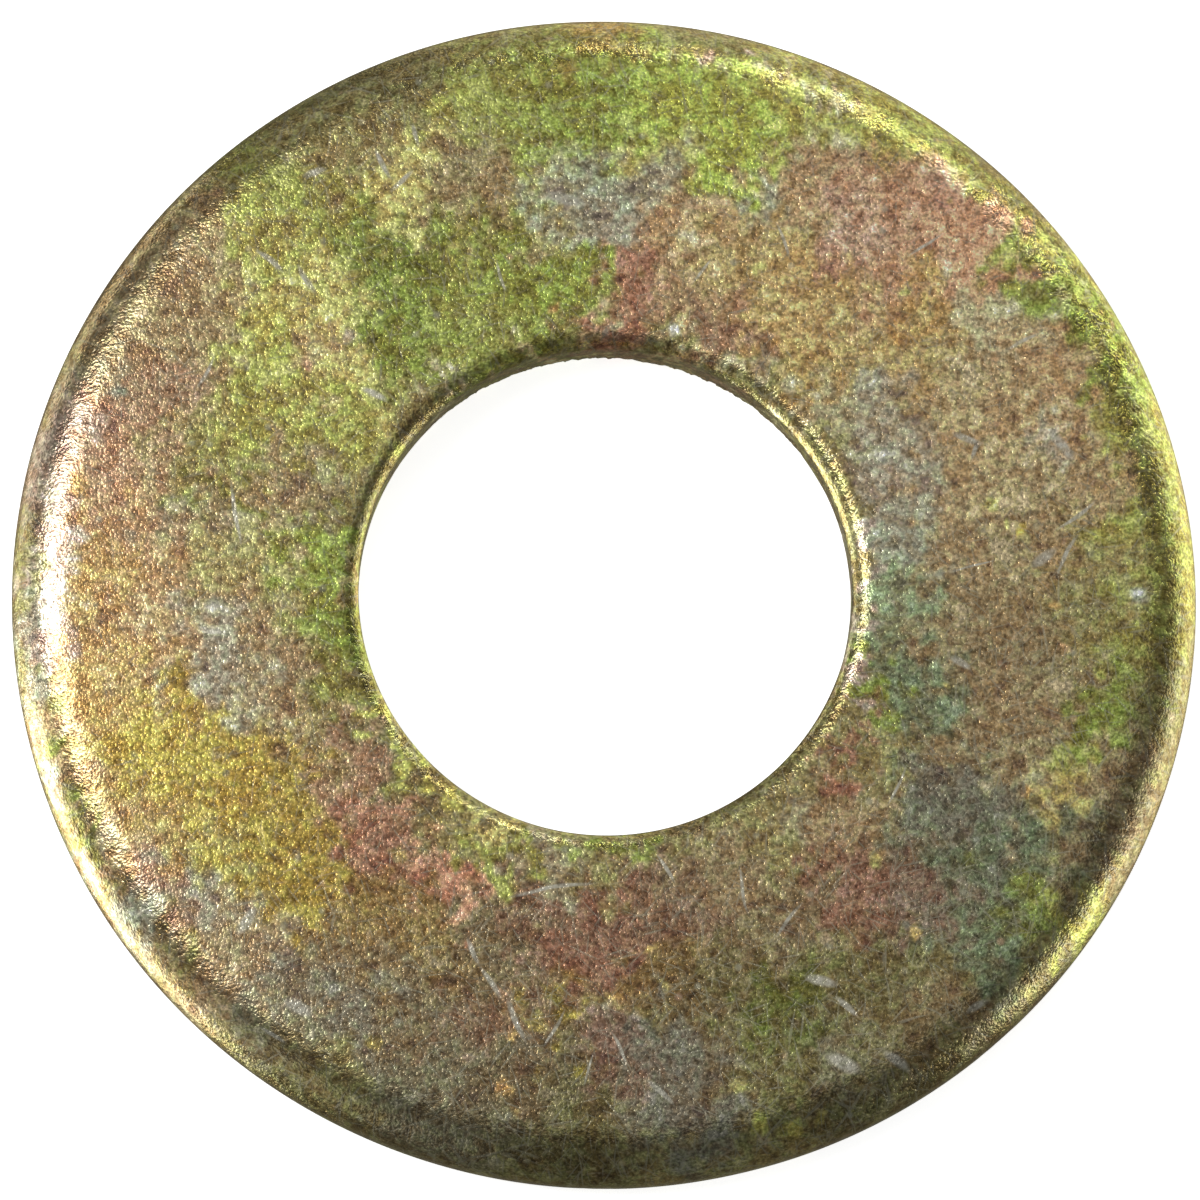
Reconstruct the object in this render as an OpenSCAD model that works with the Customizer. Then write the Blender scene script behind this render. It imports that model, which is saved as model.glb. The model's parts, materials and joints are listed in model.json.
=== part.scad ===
// Plain steel washer, wide series, for a 1/2 inch bolt.
// It is stamped in one stroke, so both edges of its upper face are rolled over by the die,
// and both walls end at the back in a torn zone, where the metal broke away.
// Origin: on the bore's axis, at the back face. +Z points out of the rolled face. Millimetres.

/* [Washer] */
// Outside diameter
outer_d = 34.93; // [33:0.01:36]
// Diameter of the bore at its smooth land, where the bolt passes
bore_d = 14.5; // [13.5:0.05:15]
// Distance between the two bearing faces
thickness = 2.6; // [2.4:0.05:3.3]

/* [Stamped edges] */
// Radius of the roll at the outside edge of the upper face
outer_roll_r = 1.75; // [0.8:0.05:1.8]
// Radius of the roll at the edge of the bore
bore_roll_r = 0.65; // [0.3:0.05:0.8]
// Height of the smooth land under the roll, at the outside wall
outer_land = 0.3; // [0.1:0.05:0.4]
// Height of the smooth land under the roll, in the bore
bore_land = 1.1; // [0.6:0.05:1.2]
// How far a torn wall leans away from its land by the time it meets the back face
tear_lean = 0.1; // [0.05:0.01:0.2]
// Bevel worn on the two edges of the back face
edge_break = 0.1; // [0.05:0.01:0.15]

/* [Hidden] */

outer_r = outer_d / 2;
bore_r = bore_d / 2;
outer_back_r = outer_r - tear_lean;
bore_back_r = bore_r + tear_lean;
outer_tear_z = thickness - outer_roll_r - outer_land;
bore_tear_z = thickness - bore_roll_r - bore_land;
// Spare size that carries a cutting shape clear past what it cuts
spare = 1;
// Steps in a full turn, for the drawing of the arcs and of the turned ring
arc_steps = 96;
turn_steps = 180;

// What a die roll takes from a square corner: everything beyond an arc of radius r about the
// origin, in the quarter where x and y are both positive
module roll_cut(r) {
    difference() {
        square(r + spare);
        circle(r = r, $fn = arc_steps);
    }
}

// The section with both of its upper corners still square
module square_section() {
    polygon([
        [bore_r, thickness],
        [bore_r, bore_tear_z],
        [bore_back_r, edge_break],
        [bore_back_r + edge_break, 0],
        [outer_back_r - edge_break, 0],
        [outer_back_r, edge_break],
        [outer_r, outer_tear_z],
        [outer_r, thickness]
    ]);
}

module rolled_section() {
    difference() {
        square_section();
        translate([outer_r - outer_roll_r, thickness - outer_roll_r])
            roll_cut(outer_roll_r);
        translate([bore_r + bore_roll_r, thickness - bore_roll_r])
            mirror([1, 0])
                roll_cut(bore_roll_r);
    }
}

module washer() {
    color("darkkhaki")
        rotate_extrude($fn = turn_steps)
            rolled_section();
}

washer();
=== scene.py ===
# %% [markdown]
# # A stamped washer, plated with zinc and dipped in a yellow passivating bath
#
# The washer is one piece of steel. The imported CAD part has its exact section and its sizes, and
# this lesson adds what a section can't hold: the slight crown that stamping leaves, torn walls,
# dents, a fine hammered grain, and the rainbow film of the bath. Lengths are in metres, as in the
# CAD part, and the helper `mm` lets the lesson speak in millimetres.

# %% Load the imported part
import json
import math
import random

import bmesh
import bpy
import numpy as np
from mathutils import Matrix, Vector


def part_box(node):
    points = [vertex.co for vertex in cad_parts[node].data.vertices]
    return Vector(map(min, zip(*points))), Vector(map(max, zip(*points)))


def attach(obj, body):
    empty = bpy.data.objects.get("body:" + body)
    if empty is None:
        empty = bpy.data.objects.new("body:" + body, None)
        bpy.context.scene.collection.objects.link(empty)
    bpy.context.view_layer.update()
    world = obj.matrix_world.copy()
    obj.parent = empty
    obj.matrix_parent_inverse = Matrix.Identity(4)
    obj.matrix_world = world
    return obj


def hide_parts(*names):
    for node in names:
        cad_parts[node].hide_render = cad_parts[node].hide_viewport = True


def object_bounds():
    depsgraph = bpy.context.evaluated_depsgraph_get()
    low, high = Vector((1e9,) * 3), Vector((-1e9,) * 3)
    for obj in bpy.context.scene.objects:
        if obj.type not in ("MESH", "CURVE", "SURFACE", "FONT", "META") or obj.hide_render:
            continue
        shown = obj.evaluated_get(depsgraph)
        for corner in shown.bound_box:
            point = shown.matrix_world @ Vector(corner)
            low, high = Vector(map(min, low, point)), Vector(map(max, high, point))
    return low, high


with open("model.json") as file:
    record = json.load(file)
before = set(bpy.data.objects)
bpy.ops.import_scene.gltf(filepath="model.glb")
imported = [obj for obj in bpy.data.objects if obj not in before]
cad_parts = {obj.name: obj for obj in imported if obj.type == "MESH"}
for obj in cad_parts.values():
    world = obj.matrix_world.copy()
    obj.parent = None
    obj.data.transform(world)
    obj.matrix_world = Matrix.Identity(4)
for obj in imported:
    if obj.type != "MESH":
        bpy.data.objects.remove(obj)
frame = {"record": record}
cad_low, cad_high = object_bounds()


def mm(length):
    return length / 1000


print("CAD box, metres:", list(cad_low), list(cad_high))

# %% [markdown]
# ## The camera
#
# The washer lies flat and is looked at from almost straight above, tipped about ten degrees
# towards -Y, a good way off with a long lens, so the ring hardly narrows towards its far side. A
# camera could be turned with Euler angles or a Track To constraint. Here its place is worked out
# from the two viewing angles, and its three axes are put together by hand, because then +Y points
# exactly upwards in the picture and every number has a meaning.

# %% Camera
camera_distance = mm(300)
camera_tilt = math.radians(10.54)
camera_azimuth = math.radians(261.83)
mid_height = cad_high.z / 2
aim_point = Vector((mm(-0.148), mm(-0.125), mid_height))
towards_camera = Vector((
    math.sin(camera_tilt) * math.cos(camera_azimuth),
    math.sin(camera_tilt) * math.sin(camera_azimuth),
    math.cos(camera_tilt),
))

camera_data = bpy.data.cameras.new("camera")
camera_data.sensor_width = 36
camera_data.lens = 305.96
camera_data.clip_start = mm(10)
camera_data.clip_end = 10
camera = bpy.data.objects.new("camera", camera_data)
bpy.context.scene.collection.objects.link(camera)

camera_place = towards_camera * camera_distance + Vector((0, 0, mid_height))
forward = (aim_point - camera_place).normalized()
right = forward.cross(Vector((0, 1, 0))).normalized()
upward = right.cross(forward)
camera.matrix_world = (
    Matrix.Translation(camera_place) @ Matrix((right, upward, -forward)).transposed().to_4x4()
)
bpy.context.scene.camera = camera
print("camera at", [round(x, 4) for x in camera_place])

# %% [markdown]
# ## The section
#
# A stamped washer is a ring with one section all round. Its two upper corners are rolled over by
# the die, and its two walls lean away where the metal tore. It could be cut from a cylinder, but a
# section that is turned about the axis gives rings that run with the shape, and their spacing can
# be chosen: close on the face that shows, wide on the back. So the outline starts as eight
# vertices, its upper corners get a vertex bevel with a profile of 0.5, which is a true arc on a
# square corner, and its straight stretches are then subdivided.

# %% Sizes of the section
washer_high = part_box("washer")[1]
mounts = {m["name"]: m for m in frame["record"]["mounts"]}
outer_r = washer_high.x
thickness = washer_high.z
bore_r = mm(mounts["bore"]["dims"]["r_mm"])
outer_roll_r = mm(1.75)
bore_roll_r = mm(0.58)
outer_tear_z = mm(0.55)
bore_tear_z = mm(0.85)
tear_lean = mm(0.1)
edge_break = mm(0.1)
print("washer: outer radius", round(outer_r, 5), "bore radius", bore_r, "thickness", round(thickness, 5))

# %% Outline of the section, still a wire with square corners
CORNERS = [
    (bore_r, thickness),
    (outer_r, thickness),
    (outer_r, outer_tear_z),
    (outer_r - tear_lean, edge_break),
    (outer_r - tear_lean - edge_break, 0),
    (bore_r + tear_lean + edge_break, 0),
    (bore_r + tear_lean, edge_break),
    (bore_r, bore_tear_z),
]

ring = bmesh.new()
corners = [ring.verts.new((x, 0, z)) for x, z in CORNERS]
for start, end in zip(corners, corners[1:] + corners[:1]):
    ring.edges.new((start, end))
print("outline:", len(ring.verts), "corners")


# %% Roll the two upper corners
def roll_corner(corner, radius, segments):
    """Round one corner of the wire and return the edges of the new arc."""
    made = bmesh.ops.bevel(
        ring, geom=[corner], offset=radius, segments=segments, profile=0.5,
        affect="VERTICES", material=-1,
    )
    return made["edges"]


arcs = set(roll_corner(corners[1], outer_roll_r, 14))
arcs |= set(roll_corner(corners[0], bore_roll_r, 9))
print("arcs:", len(arcs), "edges")

# %% Divide the straight stretches
front_gap = mm(0.1)
back_gap = mm(2.0)
for edge in ring.edges[:]:
    on_the_back = edge.verts[0].co.z + edge.verts[1].co.z < mm(0.02)
    cuts = round(edge.calc_length() / (back_gap if on_the_back else front_gap)) - 1
    if edge not in arcs and cuts > 0:
        bmesh.ops.subdivide_edges(ring, edges=[edge], cuts=cuts)
print("section:", len(ring.verts), "points")

# %% [markdown]
# The wire is spun through a quarter turn and the quarter is mirrored twice. One full spin would do
# the same, but on hundreds of steps it is many times slower.

# %% Turn the section into a ring
TURN_STEPS = 720
bmesh.ops.spin(
    ring, geom=ring.verts[:] + ring.edges[:], cent=(0, 0, 0), axis=(0, 0, 1),
    angle=math.tau / 4, steps=TURN_STEPS // 4, use_merge=False, use_duplicate=False,
)
for axis in "XY":
    everything = ring.verts[:] + ring.edges[:] + ring.faces[:]
    bmesh.ops.mirror(ring, geom=everything, merge_dist=mm(0.001), axis=axis)
bmesh.ops.recalc_face_normals(ring, faces=ring.faces)
open_edges = sum(edge.is_boundary for edge in ring.edges)
triangles = sum(len(face.verts) - 2 for face in ring.faces)
print("ring:", len(ring.verts), "vertices,", triangles, "triangles,", open_edges, "open edges")

# %% [markdown]
# ## Wear and tear, moved into the mesh
#
# A turned ring is too perfect: a press leaves the face a little crowned and wavy, the walls torn,
# and a tumbling drum adds dents. Sculpting or a displacement texture could do it. Here each effect
# is a distance for every vertex, always towards the metal, so the washer never grows past its CAD
# size, and the sums are done on whole arrays, which is quick. The noise is a small lattice of
# seeded random numbers with smooth steps between them, so each run gives the same answer.

# %% Arrays that describe each vertex
points = np.array([v.co for v in ring.verts]) * 1000
radius = np.hypot(points[:, 0], points[:, 1])
across = points[:, :2] / radius[:, None]
height = points[:, 2]
T = thickness * 1000
print("radius from", radius.min().round(3), "to", radius.max().round(3), "mm, thickness", round(T, 3), "mm")

# %% Helpers: smooth noise and a smooth step
LATTICE = 48
OCTAVE_SHIFT = 7.3


def wavy(where, size, seed, octaves=1):
    """Smooth noise around 0 for an array of points, with bumps about `size` across."""
    table = np.random.default_rng(seed).uniform(-1, 1, (LATTICE, LATTICE, LATTICE))
    total = np.zeros(len(where))
    for octave in range(octaves):
        spot = where / size * 2 ** octave + OCTAVE_SHIFT * octave
        cell = np.floor(spot).astype(int)
        part = spot - cell
        part = part * part * (3 - 2 * part)
        for corner in np.ndindex(2, 2, 2):
            share = 1
            for axis in range(3):
                share = share * (part[:, axis] if corner[axis] else 1 - part[:, axis])
            at = (cell + corner) % LATTICE
            total += share * table[at[:, 0], at[:, 1], at[:, 2]] / 2 ** octave
    return total


def ease(x, low, high):
    """0 below low, 1 above high, and a smooth step between."""
    s = np.clip((x - low) / (high - low), 0, 1)
    return s * s * (3 - 2 * s)


sample = wavy(points, 1.0, 1)
print("noise runs from", sample.min().round(2), "to", sample.max().round(2))

# %% Crown and waviness of the face
FLAT_FROM = 10.0
FLAT_TO = 12.5
outer_fall = np.clip((radius - FLAT_TO) / 3.2, 0, None) ** 2
inner_fall = np.clip((FLAT_FROM - radius) / 2.1, 0, None) ** 2
crown = 0.05 * outer_fall + 0.01 * inner_fall
waves = 0.010 * (1 + wavy(points, 4.5, 1)) + 0.005 * (1 + wavy(points, 1.4, 2))
waves += 0.0025 * (1 + wavy(points, 0.5, 3, 2))
sink = (crown + waves) * (height / T)
print("face sinks by up to", sink.max().round(3), "mm")

# %% Dents
DENTS = 70
DENT_REACH = (8.2, 16.4)
DENT_SIZE = (0.15, 0.45)
DENT_DEPTH = (0.006, 0.022)
random.seed(7)
for _ in range(DENTS):
    way = random.uniform(0, math.tau)
    reach = random.uniform(*DENT_REACH)
    size = random.uniform(*DENT_SIZE)
    depth = random.uniform(*DENT_DEPTH)
    away = np.hypot(points[:, 0] - reach * math.cos(way), points[:, 1] - reach * math.sin(way))
    near = np.clip(1 - (away / size) ** 2, 0, 1) ** 2
    sink += depth * near * ease(height, 0.5 * T, 0.7 * T)
print(DENTS, "dents, face now sinks by up to", sink.max().round(3), "mm")

# %% [markdown]
# The punch cuts the first third of the plate cleanly and the rest tears. The tear starts on a
# wandering line round each wall, and below it the metal has fine upright furrows, so the noise is
# stretched along the height by giving the height a small share in its coordinates.

# %% Torn walls
BORE_TEAR = (0.70, 0.90)
OUTER_TEAR = (0.30, 0.50)
torn_line = 0.10 * wavy(np.column_stack([across * 8, height * 0]), 1.0, 5, 3)
bore_smooth = ease(height - torn_line, *BORE_TEAR)
outer_smooth = ease(height - torn_line, *OUTER_TEAR)
bore_torn = (1 - bore_smooth) * (radius < 9)
outer_torn = (1 - outer_smooth) * (radius > 16)
furrows = np.abs(wavy(np.column_stack([across * 9, height * 0.35]), 0.30, 6, 2)) * 0.07
pits = np.abs(wavy(points, 0.12, 7, 2)) * 0.03
inward = (furrows + pits) * (bore_torn - outer_torn)
rolled = np.clip((radius - 15.7) / 1.75, 0, None)
out_of_round = 0.02 * (1 + wavy(points, 5.0, 8))
inward -= out_of_round * rolled
print("torn walls reach", np.abs(inward).max().round(3), "mm into the metal")

# %% Write the moved vertices and make the object
moved = points.copy()
moved[:, :2] += across * inward[:, None]
moved[:, 2] = np.clip(height - sink, 0, T)
for vert, place in zip(ring.verts, moved / 1000):
    vert.co = place
for face in ring.faces:
    face.smooth = True
washer_mesh = bpy.data.meshes.new("plated_washer")
ring.to_mesh(washer_mesh)
ring.free()
washer = bpy.data.objects.new("plated_washer", washer_mesh)
bpy.context.scene.collection.objects.link(washer)
print("washer mesh, mm:", moved.min(axis=0).round(3), "to", moved.max(axis=0).round(3))

# %% [markdown]
# ## The film, painted as stains
#
# The yellow bath leaves a thin film on the zinc, and light that bounces off its two sides adds up
# to a colour: gold where it is thin, then rose, plum, blue and teal, and green where it is thick.
# The stains below also carry painted light and shade: their shades make the face darker towards
# the bottom and the lower right and lighter at the left and towards the top, pale stains at the
# brightest shades on the rolled edges and on the bore's lip are painted highlights, and the darker
# green just inside the lower left rim is a painted reflection.
# It dried unevenly, so the washer is a patchwork of soft stains a millimetre or two across. A
# procedural noise gives such patches but can't put the gold on the left and the green at the top,
# so the stains are listed one by one: each has a place, a size, a hue and a shade, and each vertex
# takes the average of the stains around it. The places and sizes were chosen. The hues and shades
# were not all chosen so: many were corrected with a tool that measures colour, and a program then
# rounded the shades to the paint box below. The places are pushed about by noise first, so
# neighbours bite into one another with ragged edges instead of meeting in smooth circles. The
# result is a colour attribute on the mesh, which any renderer can read.

# %% The paint box: hues and shades
HUES = {
    "green": (0.95, 1.10, 0.25),
    "lime": (1.05, 1.05, 0.30),
    "olive": (1.15, 1.00, 0.45),
    "straw": (1.10, 1.00, 0.40),
    "gold": (1.30, 1.00, 0.25),
    "ochre": (1.25, 0.95, 0.45),
    "amber": (1.40, 0.95, 0.40),
    "peach": (1.35, 0.95, 0.55),
    "rose": (1.45, 0.90, 0.60),
    "wine": (1.65, 0.85, 0.60),
    "plum": (1.40, 0.90, 0.70),
    "brown": (1.25, 0.95, 0.55),
    "sand": (1.15, 1.00, 0.65),
    "slate": (1.10, 1.00, 0.80),
    "mist": (1.00, 1.00, 0.80),
    "teal": (0.90, 1.05, 0.65),
    "blush": (1.20, 0.95, 0.85),
}
SHADES = {
    "darkest": 0.16,
    "deep": 0.20,
    "dark": 0.25,
    "dusky": 0.31,
    "middling": 0.38,
    "fair": 0.46,
    "bright": 0.56,
    "glinting": 0.68,
}


def painted_reflectance(hue, shade):
    """Painted reflectance: the hue at the brightness of that shade, which gives the film's colour and, in
    many stains, painted light and shade as well.
    """
    return np.array(HUES[hue]) * SHADES[shade]


print("paint box:", len(HUES), "hues and", len(SHADES), "shades")

# %% Large stains, which also paint light and shade
STAINS_AND_PAINTED_LIGHT = [
    # x, y and size in millimetres, hue, shade
    # top
    (-0.3, 16.3, 0.9, "amber", "middling"),
    (-3.5, 14.3, 1.4, "lime", "middling"),
    (-0.5, 14.6, 1.7, "green", "middling"),
    (-4.1, 12.6, 1.2, "brown", "dusky"),
    (-6.2, 12.3, 0.8, "straw", "glinting"),
    (-7.5, 13.0, 0.7, "brown", "dusky"),
    (-8.3, 11.8, 1.4, "lime", "middling"),
    (-9.2, 13.4, 1.3, "olive", "dusky"),
    (-10.6, 12.2, 1.2, "lime", "dusky"),
    (-9.3, 10.2, 1.2, "lime", "fair"),
    (-11.9, 10.3, 1.3, "brown", "middling"),
    (-9.3, 8.4, 1.3, "straw", "glinting"),
    (-10.6, 7.6, 0.9, "lime", "bright"),
    (-6.6, 9.8, 1.4, "green", "dark"),
    (-4.6, 9.0, 1.3, "green", "dusky"),
    (-4.2, 9.6, 0.4, "straw", "bright"),
    (-2.0, 9.8, 1.4, "green", "middling"),
    (-2.9, 11.4, 0.9, "brown", "middling"),
    (-0.9, 11.3, 0.7, "mist", "bright"),
    (0.6, 12.2, 1.2, "mist", "fair"),
    (0.5, 10.8, 0.7, "slate", "fair"),
    (-5.8, 7.6, 1.2, "green", "dusky"),
    (-3.9, 8.1, 1.0, "lime", "middling"),
    (-5.4, 14.2, 0.6, "lime", "fair"),
    (-6.2, 15.3, 0.8, "olive", "dark"),
    (-1.2, 13.1, 0.6, "sand", "fair"),
    # upper left and left
    (-14.2, 8.6, 1.0, "brown", "dusky"),
    (-12.7, 7.4, 1.2, "brown", "middling"),
    (-14.9, 5.9, 0.6, "sand", "middling"),
    (-13.4, 5.6, 1.1, "rose", "dusky"),
    (-15.7, 4.2, 1.0, "blush", "middling"),
    (-14.4, 3.8, 1.3, "rose", "middling"),
    (-14.1, 1.6, 1.1, "amber", "fair"),
    (-12.1, 4.0, 1.1, "olive", "middling"),
    (-11.4, 3.1, 0.7, "green", "middling"),
    (-10.6, 5.9, 1.2, "lime", "fair"),
    (-8.9, 6.5, 0.8, "brown", "fair"),
    (-7.3, 5.9, 0.7, "straw", "glinting"),
    (-8.0, 4.4, 1.0, "lime", "fair"),
    (-8.4, 2.9, 0.8, "sand", "middling"),
    (-9.9, 2.8, 0.9, "brown", "middling"),
    (-8.5, 1.3, 0.9, "green", "middling"),
    (-12.2, 2.3, 0.9, "sand", "middling"),
    (-13.0, 2.0, 0.7, "rose", "middling"),
    (-14.6, 0.6, 0.9, "amber", "fair"),
    (-13.4, 0.4, 0.9, "peach", "fair"),
    (-11.2, 0.8, 1.1, "olive", "fair"),
    (-10.6, -0.9, 0.8, "brown", "middling"),
    (-8.0, -0.2, 0.9, "green", "dusky"),
    (-9.6, 0.0, 0.7, "olive", "middling"),
    (-14.7, -1.9, 0.9, "amber", "fair"),
    (-13.2, -1.6, 0.9, "peach", "fair"),
    (-12.0, -1.9, 0.7, "slate", "fair"),
    (-11.3, -2.8, 0.8, "slate", "fair"),
    (-10.4, -3.4, 0.6, "sand", "fair"),
    (-9.2, -3.0, 1.0, "peach", "dusky"),
    (-7.8, -2.6, 0.9, "lime", "dusky"),
    # pale blush at a bright shade where the left lamp's highlight falls on the rolled edge: partly film,
    # partly painted highlight
    (-16.2, 1.8, 0.7, "blush", "bright"),
    (-16.3, 0.0, 0.7, "blush", "bright"),
    (-16.2, -1.8, 0.7, "blush", "bright"),
    (-15.8, -3.6, 0.7, "peach", "fair"),
    # rim, left and lower left: pale mist at bright shades is a painted highlight along the edge, and the
    # darker green just inside it a painted dark reflection
    (-17.2, -1.5, 0.45, "mist", "fair"),
    (-16.9, -3.6, 0.45, "mist", "bright"),
    (-16.2, -5.9, 0.45, "mist", "bright"),
    (-15.2, -8.2, 0.45, "mist", "bright"),
    (-13.9, -10.3, 0.45, "mist", "fair"),
    (-12.2, -12.2, 0.45, "sand", "middling"),
    (-16.2, -3.0, 0.35, "green", "middling"),
    (-15.7, -5.0, 0.35, "green", "middling"),
    (-15.1, -6.9, 0.40, "green", "dusky"),
    (-14.1, -8.8, 0.40, "green", "dark"),
    (-12.7, -10.7, 0.40, "green", "dark"),
    # gold on the lower left
    (-14.4, -3.8, 0.9, "amber", "fair"),
    (-13.0, -4.6, 1.3, "gold", "fair"),
    (-11.4, -5.6, 1.5, "gold", "fair"),
    (-10.0, -6.4, 1.4, "gold", "middling"),
    (-11.6, -7.6, 0.8, "straw", "fair"),
    (-9.2, -8.6, 1.2, "gold", "middling"),
    (-12.9, -7.2, 0.9, "amber", "middling"),
    (-14.9, -5.8, 0.9, "peach", "middling"),
    (-14.0, -8.2, 0.9, "peach", "fair"),
    (-13.1, -9.3, 0.8, "plum", "dusky"),
    (-12.0, -9.2, 0.6, "slate", "middling"),
    (-12.9, -10.4, 0.7, "peach", "dusky"),
    (-10.6, -10.2, 0.8, "sand", "fair"),
    (-8.6, -4.6, 0.8, "ochre", "dusky"),
    (-7.4, -5.6, 0.9, "rose", "dusky"),
    (-6.6, -7.0, 0.8, "wine", "dusky"),
    (-5.9, -8.2, 0.9, "wine", "dark"),
    (-7.5, -9.7, 0.9, "amber", "dark"),
    (-4.7, -9.1, 0.7, "wine", "fair"),
    (-6.2, -5.4, 0.6, "olive", "deep"),
    # bottom, in dark shades: painted shade that makes the face darker towards the bottom
    (-8.0, -11.2, 0.8, "brown", "dark"),
    (-5.9, -10.6, 1.0, "amber", "dark"),
    (-9.5, -11.6, 0.9, "slate", "dusky"),
    (-11.3, -11.5, 1.0, "peach", "dusky"),
    (-9.0, -12.9, 1.0, "sand", "dark"),
    (-7.2, -13.2, 1.0, "slate", "dark"),
    (-5.6, -12.4, 1.1, "brown", "deep"),
    (-3.9, -12.9, 0.9, "rose", "deep"),
    (-3.4, -10.4, 0.8, "brown", "deep"),
    (-1.5, -10.6, 1.1, "wine", "deep"),
    (-2.2, -9.5, 0.7, "rose", "deep"),
    (-1.6, -12.2, 0.7, "gold", "dark"),
    (-5.0, -7.3, 0.9, "olive", "dusky"),
    (-3.2, -8.1, 0.5, "lime", "middling"),
    (-1.6, -8.1, 0.8, "sand", "middling"),
    (0.0, -8.3, 0.7, "olive", "dusky"),
    (-2.3, -14.7, 1.2, "brown", "darkest"),
    (-4.9, -15.0, 1.4, "sand", "deep"),
    (-8.2, -14.7, 1.2, "olive", "dark"),
    (-1.2, -16.0, 1.2, "olive", "darkest"),
    (0.4, -9.7, 0.9, "wine", "deep"),
    (2.2, -9.3, 1.1, "rose", "deep"),
    (1.8, -11.7, 1.0, "amber", "deep"),
    (3.3, -12.0, 1.3, "ochre", "darkest"),
    (0.4, -13.7, 0.8, "plum", "deep"),
    (1.2, -13.4, 0.6, "mist", "deep"),
    (2.4, -15.0, 1.0, "slate", "deep"),
    (3.3, -14.0, 0.7, "brown", "deep"),
    (4.4, -14.2, 0.9, "olive", "deep"),
    (5.4, -12.8, 1.2, "green", "darkest"),
    (8.2, -11.9, 1.4, "olive", "deep"),
    (6.9, -13.8, 0.9, "sand", "dark"),
    (9.2, -13.4, 0.9, "brown", "dark"),
    (7.6, -15.2, 1.0, "olive", "darkest"),
    (9.9, -14.6, 1.0, "olive", "dark"),
    # lower right, also dark: the same painted shade as at the bottom
    (5.0, -10.1, 1.2, "brown", "dark"),
    (3.3, -8.2, 0.9, "brown", "dusky"),
    (5.0, -7.6, 0.8, "olive", "dusky"),
    (7.2, -8.8, 1.0, "wine", "deep"),
    (7.5, -6.7, 0.9, "peach", "dusky"),
    (6.0, -6.9, 0.6, "sand", "middling"),
    (9.3, -9.4, 1.0, "plum", "deep"),
    (10.7, -8.7, 1.2, "teal", "deep"),
    (10.9, -10.5, 0.9, "teal", "dark"),
    (12.0, -9.4, 0.8, "green", "dusky"),
    (12.9, -7.0, 1.0, "teal", "deep"),
    (10.6, -6.8, 0.9, "slate", "deep"),
    (13.2, -5.6, 0.7, "straw", "glinting"),
    (12.2, -5.8, 0.5, "sand", "fair"),
    (14.5, -7.0, 0.8, "brown", "dark"),
    (15.0, -5.2, 0.7, "brown", "dusky"),
    (12.3, -11.4, 0.9, "olive", "dusky"),
    (11.1, -12.4, 0.7, "brown", "dark"),
    (14.1, -9.9, 0.6, "lime", "fair"),
    (11.4, -4.2, 0.9, "brown", "dusky"),
    (12.4, -2.9, 1.1, "brown", "dusky"),
    (14.2, -3.6, 0.9, "green", "dusky"),
    (13.2, -4.4, 0.5, "lime", "middling"),
    (9.3, -2.6, 0.8, "teal", "dark"),
    (9.4, -4.2, 0.7, "teal", "dark"),
    (8.5, -0.6, 0.7, "teal", "middling"),
    (10.8, -1.2, 1.2, "brown", "dusky"),
    (8.3, -5.0, 0.8, "olive", "dusky"),
    (8.1, -3.4, 0.6, "green", "dusky"),
    # bore wall, back
    (-4.7, 5.4, 0.25, "sand", "bright"),
    (-3.1, 6.45, 0.25, "brown", "bright"),
    (-1.4, 7.0, 0.25, "brown", "glinting"),
    (0.4, 7.12, 0.25, "brown", "glinting"),
    (2.1, 6.85, 0.25, "brown", "glinting"),
    (3.7, 6.15, 0.25, "sand", "bright"),
    (5.0, 5.15, 0.25, "sand", "bright"),
    # bore lip, left and below: lime and straw at the brightest shade paint a highlight line along the lip,
    # over the film's own lime
    (-7.2, 0.5, 0.35, "ochre", "fair"),
    (-7.1, -2.0, 0.35, "lime", "fair"),
    (-6.4, -3.9, 0.35, "lime", "glinting"),
    (-5.5, -5.1, 0.35, "lime", "glinting"),
    (-4.3, -6.2, 0.35, "lime", "glinting"),
    (-2.9, -7.0, 0.35, "straw", "glinting"),
    (-1.2, -7.5, 0.35, "green", "fair"),
    (0.6, -7.6, 0.35, "green", "dusky"),
    (2.4, -7.2, 0.35, "olive", "dusky"),
    # bore lip, right: the pale blush stains are partly film, partly a painted highlight along the lip
    (7.65, 1.9, 0.30, "blush", "fair"),
    (7.65, 0.4, 0.30, "blush", "fair"),
    (7.6, -1.2, 0.30, "blush", "fair"),
    (7.45, -2.4, 0.28, "blush", "fair"),
    (7.35, -3.6, 0.32, "wine", "dark"),
    (6.75, -4.9, 0.34, "wine", "dark"),
    # upper right
    (0.9, 9.3, 0.9, "wine", "dusky"),
    (2.2, 8.8, 0.7, "peach", "middling"),
    (3.3, 7.9, 0.8, "rose", "dusky"),
    (4.4, 8.0, 0.6, "amber", "fair"),
    (3.9, 9.9, 1.0, "ochre", "fair"),
    (5.5, 8.9, 1.2, "ochre", "bright"),
    (7.4, 7.9, 1.1, "ochre", "fair"),
    (9.1, 6.9, 0.9, "ochre", "fair"),
    (9.6, 8.6, 0.7, "amber", "fair"),
    (2.4, 11.2, 1.1, "peach", "fair"),
    (3.9, 11.2, 0.8, "ochre", "fair"),
    (4.7, 11.9, 0.6, "mist", "fair"),
    (5.8, 12.3, 0.7, "peach", "fair"),
    (8.0, 12.0, 1.1, "rose", "fair"),
    (9.8, 12.0, 0.7, "plum", "bright"),
    (10.4, 12.9, 0.5, "lime", "fair"),
    (11.7, 11.9, 0.5, "lime", "fair"),
    (12.9, 10.7, 0.5, "lime", "bright"),
    (14.0, 9.3, 0.5, "lime", "fair"),
    (7.2, 10.4, 0.7, "plum", "fair"),
    (8.6, 9.8, 1.1, "rose", "fair"),
    (10.6, 10.5, 1.0, "rose", "bright"),
    (7.0, 13.2, 0.7, "sand", "fair"),
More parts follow.
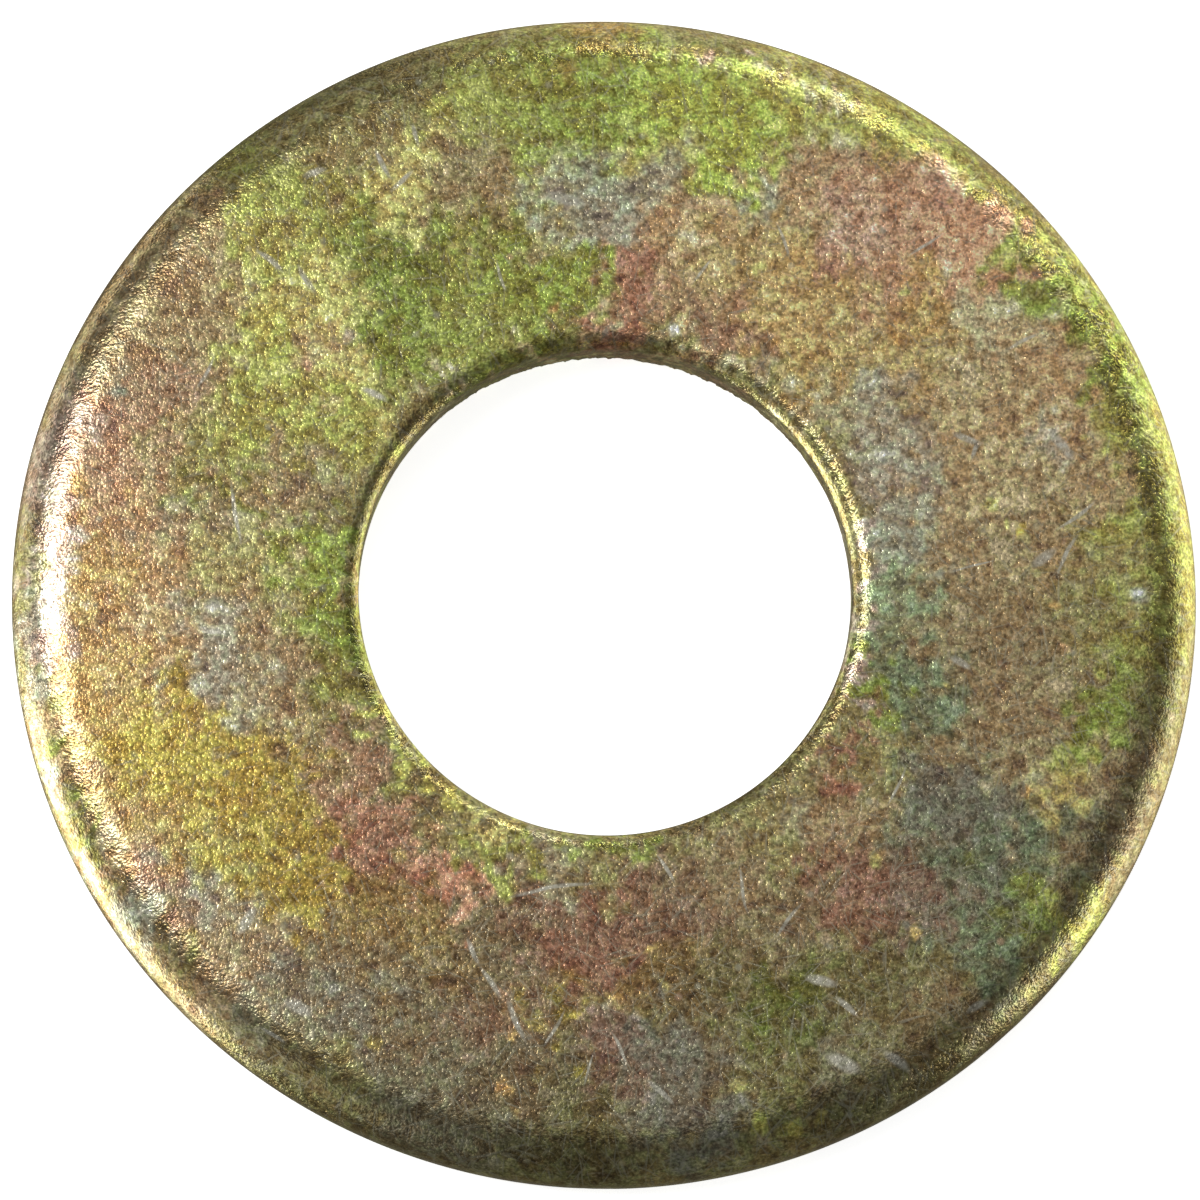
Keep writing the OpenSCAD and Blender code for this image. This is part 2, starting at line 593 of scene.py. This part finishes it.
    (12.2, 8.4, 0.8, "sand", "bright"),
    (12.9, 9.6, 0.7, "green", "middling"),
    (14.2, 8.2, 0.7, "green", "middling"),
    (15.2, 6.6, 0.8, "green", "middling"),
    (15.0, 5.2, 0.5, "lime", "fair"),
    (12.7, 7.0, 0.7, "peach", "fair"),
    (11.0, 6.2, 1.0, "brown", "fair"),
    (13.7, 5.4, 0.8, "peach", "fair"),
    (8.1, 5.9, 0.6, "slate", "fair"),
    (7.2, 5.4, 0.6, "sand", "fair"),
    (8.4, 3.7, 0.8, "slate", "fair"),
    (11.2, 4.0, 1.3, "brown", "fair"),
    (13.4, 4.4, 0.5, "slate", "fair"),
    (14.3, 3.4, 0.8, "brown", "fair"),
    (16.0, 4.4, 0.9, "lime", "fair"),
    (13.0, 2.0, 1.0, "brown", "middling"),
    (10.9, 1.6, 1.0, "brown", "middling"),
    (16.2, 1.2, 1.1, "lime", "fair"),
    (14.7, 1.0, 0.8, "olive", "middling"),
    (15.2, -1.2, 0.8, "lime", "middling"),
    (8.7, 1.5, 0.8, "mist", "fair"),
    # upper rim: the row of small blush and mist stains at the brightest shade is a painted highlight along
    # the line of the upper right strip, and the bright green and lime around it are partly film, partly
    # painted highlight
    (1.9, 14.7, 1.1, "green", "bright"),
    (3.6, 13.9, 0.9, "green", "bright"),
    (1.3, 13.6, 0.6, "straw", "bright"),
    (5.4, 15.0, 0.9, "lime", "bright"),
    (3.8, 16.1, 0.22, "blush", "glinting"),
    (4.8, 15.9, 0.22, "mist", "glinting"),
    (5.8, 15.5, 0.22, "blush", "glinting"),
    (6.8, 15.1, 0.22, "mist", "glinting"),
    (7.7, 14.6, 0.22, "blush", "glinting"),
    (7.4, 14.0, 0.8, "lime", "bright"),
    (9.3, 13.3, 0.8, "lime", "fair"),
    (5.9, 6.4, 0.7, "amber", "middling"),
]
print(len(STAINS_AND_PAINTED_LIGHT), "stains")

# %% [markdown]
# Small spots sit on top of the stains, where a crystal of the film has caught more colour than
# its surroundings. They are dabbed on with a harder edge, one at a time.

# %% Small spots
SPOTS = [
    # x, y and radius in millimetres, hue, shade
    (11.5, 2.7, 0.28, "straw", "glinting"),
    (12.4, 1.6, 0.24, "gold", "glinting"),
    (11.7, 2.0, 0.20, "straw", "glinting"),
    (13.2, -0.5, 0.18, "amber", "bright"),
    (13.4, -1.6, 0.22, "peach", "fair"),
    (8.0, -8.0, 0.26, "straw", "fair"),
    (9.15, -10.2, 0.26, "amber", "fair"),
    (9.9, -2.8, 0.20, "straw", "glinting"),
    (11.8, -7.7, 0.22, "sand", "fair"),
    (1.4, -10.5, 0.22, "amber", "middling"),
    (1.6, -12.0, 0.20, "straw", "middling"),
    (0.2, -11.9, 0.28, "amber", "middling"),
    (-2.9, -14.9, 0.30, "amber", "fair"),
    (-2.2, -12.9, 0.28, "straw", "fair"),
    (-2.8, -13.4, 0.24, "amber", "fair"),
    (-0.8, -12.7, 0.28, "gold", "middling"),
    (-0.9, -14.3, 0.30, "gold", "dark"),
    (3.9, -14.7, 0.24, "straw", "fair"),
    (-6.6, -13.4, 0.26, "straw", "fair"),
    (-7.7, 7.5, 0.30, "slate", "fair"),
    (-8.7, 6.4, 0.30, "rose", "fair"),
    (-14.3, 5.8, 0.28, "mist", "dusky"),
    (-1.6, 8.3, 0.20, "amber", "fair"),
    (-6.2, 9.1, 0.18, "straw", "fair"),
    (14.2, 7.3, 0.28, "lime", "bright"),
    (8.6, 7.6, 0.24, "amber", "bright"),
    (8.7, 8.9, 0.22, "straw", "bright"),
    (2.5, 10.4, 0.30, "sand", "bright"),
    (4.5, 9.5, 0.28, "straw", "bright"),
    (12.4, -6.0, 0.26, "amber", "bright"),
    (12.7, -4.9, 0.22, "straw", "bright"),
    (14.4, -4.9, 0.24, "lime", "bright"),
    (14.5, -4.1, 0.20, "straw", "bright"),
    (14.2, -2.3, 0.26, "lime", "fair"),
    (14.6, 1.5, 0.30, "lime", "fair"),
    (15.3, -0.1, 0.24, "mist", "bright"),
    (4.5, -15.7, 0.34, "lime", "bright"),
    (5.4, -15.7, 0.34, "lime", "bright"),
    (6.4, -15.4, 0.22, "lime", "fair"),
    (4.6, -16.2, 0.24, "sand", "middling"),
    (5.2, -14.0, 0.20, "sand", "middling"),
    (12.2, -11.9, 0.24, "straw", "fair"),
    (12.9, -11.1, 0.22, "lime", "fair"),
    (-4.4, 6.6, 0.16, "sand", "bright"),
    (-2.7, 7.6, 0.14, "sand", "fair"),
    (0.4, 8.0, 0.20, "sand", "fair"),
    (1.9, 7.6, 0.20, "slate", "glinting"),
    (2.6, 7.5, 0.14, "sand", "fair"),
    (3.9, 6.9, 0.15, "straw", "fair"),
]
print(len(SPOTS), "spots")

# %% Paint the stains
vertices = np.array([v.co for v in washer_mesh.vertices]) * 1000


def push(size, seed, octaves, reach):
    """A sideways push for every vertex, in x and y, of up to about `reach`."""
    sideways = [wavy(vertices, size, seed, octaves), wavy(vertices, size, seed + 1, octaves)]
    return np.stack(sideways, axis=1) * reach


drift = push(1.9, 11, 3, 0.8) + push(0.5, 13, 2, 0.8) + push(0.2, 15, 1, 0.5)
place = vertices[:, :2] + drift
bare_share = 0.02
steepness = 1.3
weight = np.full(len(vertices), bare_share)
tint = bare_share * painted_reflectance("olive", "dusky") * np.ones((len(vertices), 1))
for x, y, size, hue, shade in STAINS_AND_PAINTED_LIGHT:
    away = np.hypot(place[:, 0] - x, place[:, 1] - y) / size
    share = np.exp(-steepness * away ** 2)
    tint += share[:, None] * painted_reflectance(hue, shade)
    weight += share
tint /= weight[:, None]
print(len(STAINS_AND_PAINTED_LIGHT), "stains, film reflectance from", tint.min().round(2), "to", tint.max().round(2))

# %% Dab the small spots over them
ragged = vertices[:, :2] + drift * 0.25
for x, y, size, hue, shade in SPOTS:
    away = np.hypot(ragged[:, 0] - x, ragged[:, 1] - y)
    share = ease(away, size, 0.5 * size)[:, None]
    tint = tint * (1 - share) + share * painted_reflectance(hue, shade)
print(len(SPOTS), "spots, film reflectance from", tint.min().round(2), "to", tint.max().round(2))

# %% Store the film and the painted light and shade on the mesh
paint = washer_mesh.color_attributes.new("film_and_painted_light", "FLOAT_COLOR", "POINT")
rgba = np.ones((len(vertices), 4), np.float32)
rgba[:, :3] = np.clip(tint, 0, 1)
paint.data.foreach_set("color", rgba.ravel())
print("film stored on", len(paint.data), "vertices")

# %% [markdown]
# ## The material
#
# Under the film is zinc on tumbled steel: a bright metal, matt at arm's length because its surface
# is a crust of crystals and tiny hammer marks a tenth of a millimetre across, each of which
# mirrors a lamp from its own side. It could be one glossy colour with a rough finish, but then the
# sparkle and the speckled look are lost. So one Principled shader, fully metallic, takes its
# colour from the painted film with its painted light and shade, and noise at four sizes makes it
# uneven and lifts the surface.

# %% Start the material
material = bpy.data.materials.new("yellow_passivated_zinc")
material.use_nodes = True
tree = material.node_tree
shader = tree.nodes["Principled BSDF"]


def node(kind, **settings):
    made = tree.nodes.new(kind)
    for name, value in settings.items():
        setattr(made, name, value)
    return made


def set_input(made, name, value):
    """Link a socket into an input, or set the input to a plain value."""
    if isinstance(value, bpy.types.NodeSocket):
        tree.links.new(value, made.inputs[name])
    else:
        made.inputs[name].default_value = value


on_washer = node("ShaderNodeTexCoord").outputs["Object"]
film_and_painted_light = node("ShaderNodeAttribute", attribute_name="film_and_painted_light").outputs["Color"]
print("material reads the attribute: film")


# %% Noise at four sizes
def grain(size_mm, detail=2.0, roughness=0.5, distortion=0.0):
    made = node("ShaderNodeTexNoise", noise_dimensions="3D")
    set_input(made, "Vector", on_washer)
    set_input(made, "Scale", 1000 / size_mm)
    set_input(made, "Detail", detail)
    set_input(made, "Roughness", roughness)
    set_input(made, "Distortion", distortion)
    return made.outputs["Fac"]


FINE_MM = 0.085
GRIT_MM = 0.17
CLUMP_MM = 0.38
PATCH_MM = 1.1
fine = grain(FINE_MM, 1.5)
grit = grain(GRIT_MM, 2.0, 0.6)
clumps = grain(CLUMP_MM, 2.0, 0.6)
patches = grain(PATCH_MM, 3.0, 0.6)
print("grain sizes, mm:", FINE_MM, GRIT_MM, CLUMP_MM, PATCH_MM)

# %% [markdown]
# The film's thickness also wavers within each stain, so neighbouring grains lean to pink, to
# yellow or to green. A colour ramp on the noise gives those casts, and multiplying keeps the
# painted hue as the main one.


# %% Casts of colour within the stains
def maths(operation, a, b=0.0):
    made = node("ShaderNodeMath", operation=operation)
    set_input(made, 0, a)
    set_input(made, 1, b)
    return made.outputs[0]


def ramp(value, colours):
    made = node("ShaderNodeValToRGB")
    set_input(made, "Fac", value)
    stops = made.color_ramp.elements
    for k, (position, colour) in enumerate(colours):
        stop = stops[k] if k < 2 else stops.new(position)
        stop.position = position
        stop.color = (*colour, 1)
    return made.outputs["Color"]


def blend(kind, factor, under, over):
    """Lay one colour over another with a Mix node, whose colour inputs are numbers 6 and 7."""
    made = node("ShaderNodeMix", data_type="RGBA", blend_type=kind)
    set_input(made, 0, factor)
    set_input(made, 6, under)
    set_input(made, 7, over)
    return made.outputs[2]


wavering = maths("MULTIPLY", maths("ADD", clumps, patches), 0.5)
casts = ramp(wavering, [
    (0.37, (1.26, 0.90, 0.82)),
    (0.43, (1.22, 0.97, 0.62)),
    (0.50, (1.06, 0.99, 0.86)),
    (0.56, (0.90, 1.05, 0.74)),
    (0.62, (0.93, 1.01, 1.04)),
])
colour = blend("MULTIPLY", 0.65, film_and_painted_light, casts)
print("casts: pink, yellow, plain, green, blue")


# %% Lighter and darker grains
def spread(value, low, high, to_low=0.0, to_high=1.0):
    """Map the part of a value from low to high onto a new range, and clip what lies outside."""
    made = node("ShaderNodeMapRange", clamp=True)
    set_input(made, "Value", value)
    set_input(made, "From Min", low)
    set_input(made, "From Max", high)
    set_input(made, "To Min", to_low)
    set_input(made, "To Max", to_high)
    return made.outputs["Result"]


def grey(value):
    made = node("ShaderNodeCombineColor")
    for channel in range(3):
        set_input(made, channel, value)
    return made.outputs["Color"]


uneven = maths("MULTIPLY", spread(grit, 0.32, 0.68, 0.6, 1.4), spread(clumps, 0.3, 0.7, 0.5, 1.5))
# the finest grain makes the colour lighter on its crests: partly uneven film, partly painted sparkle
uneven = maths("MULTIPLY", uneven, spread(fine, 0.3, 0.7, 0.74, 1.26))
uneven = maths("MULTIPLY", uneven, spread(patches, 0.35, 0.65, 0.84, 1.16))
colour = blend("MULTIPLY", 1.0, colour, grey(uneven))
# the highest crests of the finest grain are painted paler still: partly film rubbed thin, partly painted
# glints that make the sparkle white
crest_wear_and_glints = maths("MULTIPLY", spread(fine, 0.58, 0.74), 0.20)
colour = blend("LIGHTEN", crest_wear_and_glints, colour, (0.62, 0.58, 0.46, 1))
print("colour:", len(tree.nodes), "nodes so far")

# %% [markdown]
# Here and there a crystal stands out, orange, straw or nearly black. Voronoi cells scatter one
# round speck to a cell, and the random colour that each cell carries decides whether the speck is
# there and which colour it has.

# %% Loose specks
speck_cell_mm = 0.55
speck_rarity = 0.78
cells = node("ShaderNodeTexVoronoi", voronoi_dimensions="3D", feature="F1")
set_input(cells, "Vector", on_washer)
set_input(cells, "Scale", 1000 / speck_cell_mm)
set_input(cells, "Randomness", 1.0)
draw = node("ShaderNodeSeparateColor")
set_input(draw, "Color", cells.outputs["Color"])
present = maths("GREATER_THAN", draw.outputs[0], speck_rarity)
round_speck = maths("MULTIPLY", present, spread(cells.outputs["Distance"], 0.26, 0.13))
speck_colour = ramp(draw.outputs[1], [
    (0.0, (0.72, 0.44, 0.30)),
    (0.3, (0.70, 0.60, 0.30)),
    (0.6, (0.60, 0.58, 0.42)),
    (1.0, (0.20, 0.20, 0.18)),
])
colour = blend("MIX", maths("MULTIPLY", round_speck, 0.45), colour, speck_colour)
print("specks in", round(100 * (1 - speck_rarity)), "% of the cells, which are", speck_cell_mm, "mm")

# %% [markdown]
# ## Scuffs
#
# Washers rub against each other in the box. That leaves a haze of hairline scratches in a few
# directions, small pale smears, and some strokes long enough to see one by one. The haze is noise
# that is stretched fourteen times longer than it is wide. Each single stroke is a stretched ball: a
# Mapping node moves, turns and stretches the coordinates until the stroke is a unit ball, and the
# distance from its middle gives a soft mask. The coordinates are bent by noise first, because a
# real scratch is never quite straight.

# %% Bend the coordinates
wander_reach = mm(0.6)
wander = node("ShaderNodeTexNoise", noise_dimensions="3D")
set_input(wander, "Vector", on_washer)
set_input(wander, "Scale", 400)
set_input(wander, "Detail", 1.0)
centred = node("ShaderNodeVectorMath", operation="SUBTRACT")
set_input(centred, 0, wander.outputs["Color"])
set_input(centred, 1, (0.5, 0.5, 0.5))
pushed = node("ShaderNodeVectorMath", operation="SCALE")
set_input(pushed, 0, centred.outputs["Vector"])
set_input(pushed, "Scale", wander_reach)
bent = node("ShaderNodeVectorMath", operation="ADD")
set_input(bent, 0, on_washer)
set_input(bent, 1, pushed.outputs["Vector"])


def along_mark(place, turn, scale):
    """The washer's own coordinates, moved, turned and stretched to lie along one mark."""
    made = node("ShaderNodeMapping", vector_type="TEXTURE")
    set_input(made, "Vector", bent.outputs["Vector"])
    set_input(made, "Location", place)
    set_input(made, "Rotation", (0, 0, math.radians(turn)))
    set_input(made, "Scale", scale)
    return made.outputs["Vector"]


print("marks wander by up to", wander_reach * 500, "mm to each side")


# %% Hairline scratches and smears
def hairlines(turn, length, width):
    """Long thin marks that run roughly one way."""
    made = node("ShaderNodeTexNoise", noise_dimensions="3D")
    set_input(made, "Vector", along_mark((0, 0, 0), turn, (mm(length), mm(width), mm(length))))
    set_input(made, "Scale", 1.0)
    set_input(made, "Detail", 1.0)
    return spread(made.outputs["Fac"], 0.64, 0.73)


RUBBING_DIRECTIONS = (12, 48, 83, 104, 131, 158)
hairline_length = 1.3
hairline_width = 0.09
scratches = 0.0
for turn in RUBBING_DIRECTIONS:
    scratches = maths("MAXIMUM", hairlines(turn, hairline_length, hairline_width), scratches)
smears = spread(grain(0.8, 5.0, 0.75, 1.5), 0.58, 0.70)
haze = maths("MAXIMUM", maths("MULTIPLY", scratches, 0.40), maths("MULTIPLY", smears, 0.24))
colour = blend("LIGHTEN", haze, colour, (0.48, 0.46, 0.34, 1))
print("hairlines in", len(RUBBING_DIRECTIONS), "directions")

# %% Single strokes
STROKES = [
    # x, y, length and width in millimetres, direction in degrees
    (10.3, -2.2, 0.9, 0.28, -33),
    (13.8, 2.3, 1.6, 0.14, 42),
    (13.5, 1.1, 1.5, 0.13, 63),
    (12.9, 1.0, 1.1, 0.34, 36),
    (10.8, 0.7, 1.6, 0.09, 18),
    (13.4, 4.3, 1.1, 0.40, -52),
    (10.6, 4.5, 1.0, 0.22, -18),
    (10.8, 4.2, 0.7, 0.16, 62),
    (6.2, -11.6, 1.1, 0.40, -12),
    (7.0, -12.3, 0.9, 0.26, -38),
    (6.9, -14.0, 1.3, 0.50, -25),
    (8.4, -13.9, 1.0, 0.42, -40),
    (10.9, -12.3, 0.9, 0.22, 35),
    (-3.9, -10.7, 0.9, 0.20, -62),
    (-3.4, -11.6, 1.3, 0.20, -58),
    (-2.6, -12.8, 1.6, 0.22, -65),
    (-1.6, -9.0, 3.0, 0.16, 9),
    (0.3, -13.6, 1.2, 0.13, -62),
    (-0.6, -14.2, 1.1, 0.10, 75),
    (1.6, -14.9, 1.2, 0.20, -50),
    (-1.5, -13.0, 1.3, 0.12, 62),
    (-8.9, -12.5, 1.1, 0.50, -30),
    (-10.5, -9.9, 1.1, 0.40, 55),
    (-9.7, -13.3, 1.2, 0.14, -38),
    (-6.6, 12.7, 1.1, 0.18, -58),
    (-6.0, 12.2, 1.0, 0.20, 48),
    (-5.6, 13.6, 0.9, 0.18, -75),
    (-8.6, 12.5, 0.8, 0.30, 20),
    (-8.8, 9.2, 1.2, 0.24, -60),
    (-9.9, 9.7, 1.1, 0.20, -40),
    (-6.9, 5.7, 1.0, 0.30, -30),
    (-3.1, 9.4, 1.1, 0.14, -70),
    (-1.2, 11.6, 1.4, 0.34, -12),
    (-10.9, 2.1, 2.2, 0.16, -80),
    (-11.9, 6.4, 1.2, 0.14, 60),
    (2.9, 9.6, 1.2, 0.12, 50),
    (5.2, 10.4, 1.3, 0.12, -68),
    (9.4, 10.3, 1.4, 0.12, 35),
    (12.3, 7.4, 1.2, 0.14, 25),
    (4.0, -8.9, 1.7, 0.12, -72),
    (1.8, -8.3, 1.2, 0.14, -60),
    (5.3, -9.8, 1.4, 0.14, 55),
    (8.4, -5.9, 1.5, 0.12, 62),
]


def stroke(x, y, length, width, turn):
    """One scuff on the face, soft at its edges."""
    half_size = (mm(length / 2), mm(width / 2), mm(2))
    far = node("ShaderNodeVectorMath", operation="LENGTH")
    set_input(far, 0, along_mark((mm(x), mm(y), thickness), turn, half_size))
    return spread(far.outputs["Value"], 1.0, 0.5)


strokes = 0.0
for row in STROKES:
    strokes = maths("MAXIMUM", stroke(*row), strokes)
worn = maths("MULTIPLY", strokes, spread(grit, 0.35, 0.6, 0.40, 0.95))
colour = blend("MIX", worn, colour, (0.62, 0.59, 0.48, 1))
set_input(shader, "Base Color", colour)
print(len(STROKES), "strokes")

# %% [markdown]
# ## Grain and gloss
#
# The hammered crust is far too fine for the mesh, so three of the four noises lift the surface
# through a Bump node, by hundredths of a millimetre. The bumps and the roughness share the work:
# the bumps give separate sparkles, and the roughness of the metal between them stays fairly low.
# A thin coat stands for the dried bath, which has a weak shine of its own. Values that are the
# same everywhere are set on the shader itself.

# %% Metal, bumps and coat
set_input(shader, "Metallic", 1.0)
set_input(shader, "Specular Tint", (0.90, 0.80, 0.56, 1))
set_input(shader, "Roughness", spread(patches, 0.3, 0.7, 0.22, 0.34))
rise = maths("ADD", fine, maths("MULTIPLY", grit, 0.8))
rise = maths("ADD", rise, maths("MULTIPLY", clumps, 1.2))
bump = node("ShaderNodeBump")
set_input(bump, "Strength", 1.0)
set_input(bump, "Distance", mm(0.0165))
set_input(bump, "Height", rise)
set_input(shader, "Normal", bump.outputs["Normal"])
set_input(shader, "Coat Weight", 0.14)
set_input(shader, "Coat Roughness", 0.2)
set_input(shader, "Coat Normal", bump.outputs["Normal"])
washer_mesh.materials.append(material)
print("material:", len(tree.nodes), "nodes")

# %% The washer takes the place of its CAD part
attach(washer, "root")
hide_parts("washer")
print("plated_washer rides on root and replaces washer")

# %% [markdown]
# ## Floor
#
# The washer lies on a plain white sheet. A box or a curved backdrop isn't needed, because the view
# is from above. The sheet glows a little, which keeps it evenly white. It takes no part in
# reflections and shadows, because a metal ring this flat would mirror it over its whole rim. A
# hair of space keeps the sheet and the back of the washer from sharing one plane.

# %% Floor
floor_mesh = bpy.data.meshes.new("floor")
floor_gap = mm(0.05)
floor_place = Matrix.Translation((0, 0, -floor_gap))
floor_shape = bmesh.new()
bmesh.ops.create_grid(floor_shape, x_segments=1, y_segments=1, size=2, matrix=floor_place)
floor_shape.to_mesh(floor_mesh)
floor_shape.free()
floor = bpy.data.objects.new("floor", floor_mesh)
floor.visible_glossy = False
floor.visible_shadow = False
bpy.context.scene.collection.objects.link(floor)

paper = bpy.data.materials.new("white_table")
paper.use_nodes = True
sheet = paper.node_tree.nodes["Principled BSDF"]
paper_finish = {
    "Base Color": (0.85, 0.85, 0.85, 1),
    "Roughness": 0.9,
    "Specular IOR Level": 0.0,
    "Emission Color": (1, 1, 1, 1),
    "Emission Strength": 0.8,
}
for name, value in paper_finish.items():
    sheet.inputs[name].default_value = value
floor_mesh.materials.append(paper)
print("floor:", len(floor_mesh.polygons), "face")

# %% [markdown]
# ## Light
#
# A metal shows its lamps more than its own shape, so each bright line on the washer is the mirror
# image of one lamp in the rolled edge, and each lamp is placed by where its image falls. All are
# soft rectangles that face the washer from the same distance, named by the side they stand on. A
# lamp's power is worked out from how bright its surface looks, because two panels of one
# brightness then look alike in the metal whatever their sizes.


# %% Lamps
LAMP_DISTANCE = 0.3


def panel(name, azimuth, elevation, width, height, brightness):
    """A soft panel seen in that direction from the washer, facing it. Angles are in degrees."""
    lamp = bpy.data.lights.new(name, "AREA")
    lamp.shape = "RECTANGLE"
    lamp.size = width
    lamp.size_y = height
    lamp.energy = brightness * math.pi * width * height
    holder = bpy.data.objects.new(name, lamp)
    a, e = math.radians(azimuth), math.radians(elevation)
    way = Vector((math.cos(a) * math.cos(e), math.sin(a) * math.cos(e), math.sin(e)))
    holder.location = way * LAMP_DISTANCE
    holder.rotation_mode = "QUATERNION"
    holder.rotation_quaternion = way.to_track_quat("Z", "Y")
    bpy.context.scene.collection.objects.link(holder)


# the broad light on the left, and what fills in below it
panel("left_softbox", 166, 48, 0.11, 0.20, 6.7)
panel("left_low", 186, -3, 0.20, 0.14, 1.3)
panel("left_front", 228, 8, 0.18, 0.24, 0.5)
# low panels that show in the steep outer part of the rolled edge, left side
panel("left_rim", 199, -31, 0.20, 0.22, 3.8)
panel("left_back_rim", 158, -30, 0.12, 0.20, 1.2)
panel("back_left_rim", 136, -24, 0.09, 0.07, 2.0)
# narrow strips that draw the two lines at the upper right
panel("back_right_strip", 66, 35, 0.19, 0.016, 14.0)
panel("right_back_strip", 38, 5, 0.12, 0.028, 7.0)
# weak fill from behind, and the rim of the right side
panel("back_wall", 90, 12, 0.45, 0.16, 0.40)
panel("back_right_low", 75, -28, 0.26, 0.26, 0.7)
panel("right_low", 8, -8, 0.20, 0.16, 1.1)
panel("right_rim", 14, -38, 0.28, 0.22, 1.5)
panel("right_front_rim", 334, -11, 0.10, 0.18, 2.6)
# a large dim panel overhead for the flat face
panel("ceiling", 88, 84, 0.30, 0.36, 0.35)
print("lamps:", len(bpy.data.lights))

# %% The room around
world = bpy.data.worlds.new("room")
world.use_nodes = True
room_brightness = 0.19
room = world.node_tree.nodes["Background"]
room.inputs["Color"].default_value = (0.95, 0.98, 1, 1)
room.inputs["Strength"].default_value = room_brightness
bpy.context.scene.world = world
bpy.context.scene.view_settings.view_transform = "Standard"
print("room brightness:", room_brightness)
